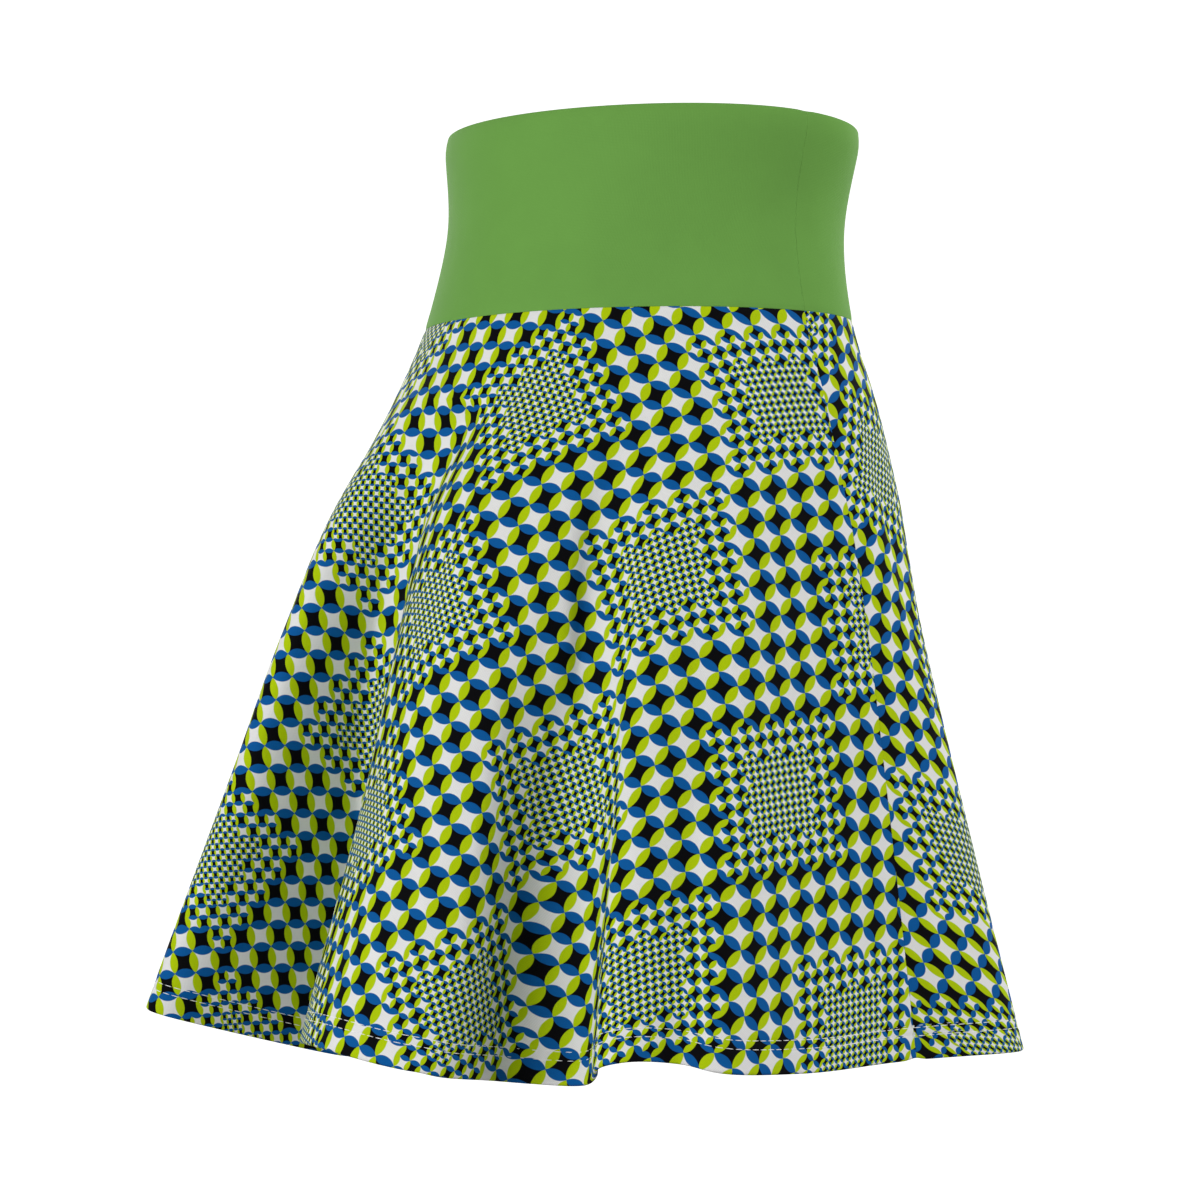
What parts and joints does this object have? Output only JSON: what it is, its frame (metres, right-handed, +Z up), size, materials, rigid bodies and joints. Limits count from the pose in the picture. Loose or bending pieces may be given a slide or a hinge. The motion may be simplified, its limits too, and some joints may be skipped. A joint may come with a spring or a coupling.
{
  "type": "circle skirt",
  "caption": "High-waisted mini circle skirt in its worn form: a plain stretch band over a printed knit skirt that hangs in soft folds to a turned-up hem.",
  "frame": {"origin": "centre of the waist, at the narrowest ring of the band, where the wearer holds the skirt up", "axes": "+Z up along the wearer's body, front faces -Y, the wearer's left is +X"},
  "size_m": [0.4554, 0.4557, 0.5046],
  "materials": {
    "band_knit": "soft matt stretch knit, plain green",
    "printed_knit": "smooth matt stretch knit, printed in lime, blue, black and white"
  },
  "bodies": {
    "root": {"waistband_back": "band_knit", "waistband_front": "band_knit", "skirt_back": "printed_knit", "skirt_front": "printed_knit"}
  },
  "joints": []
}
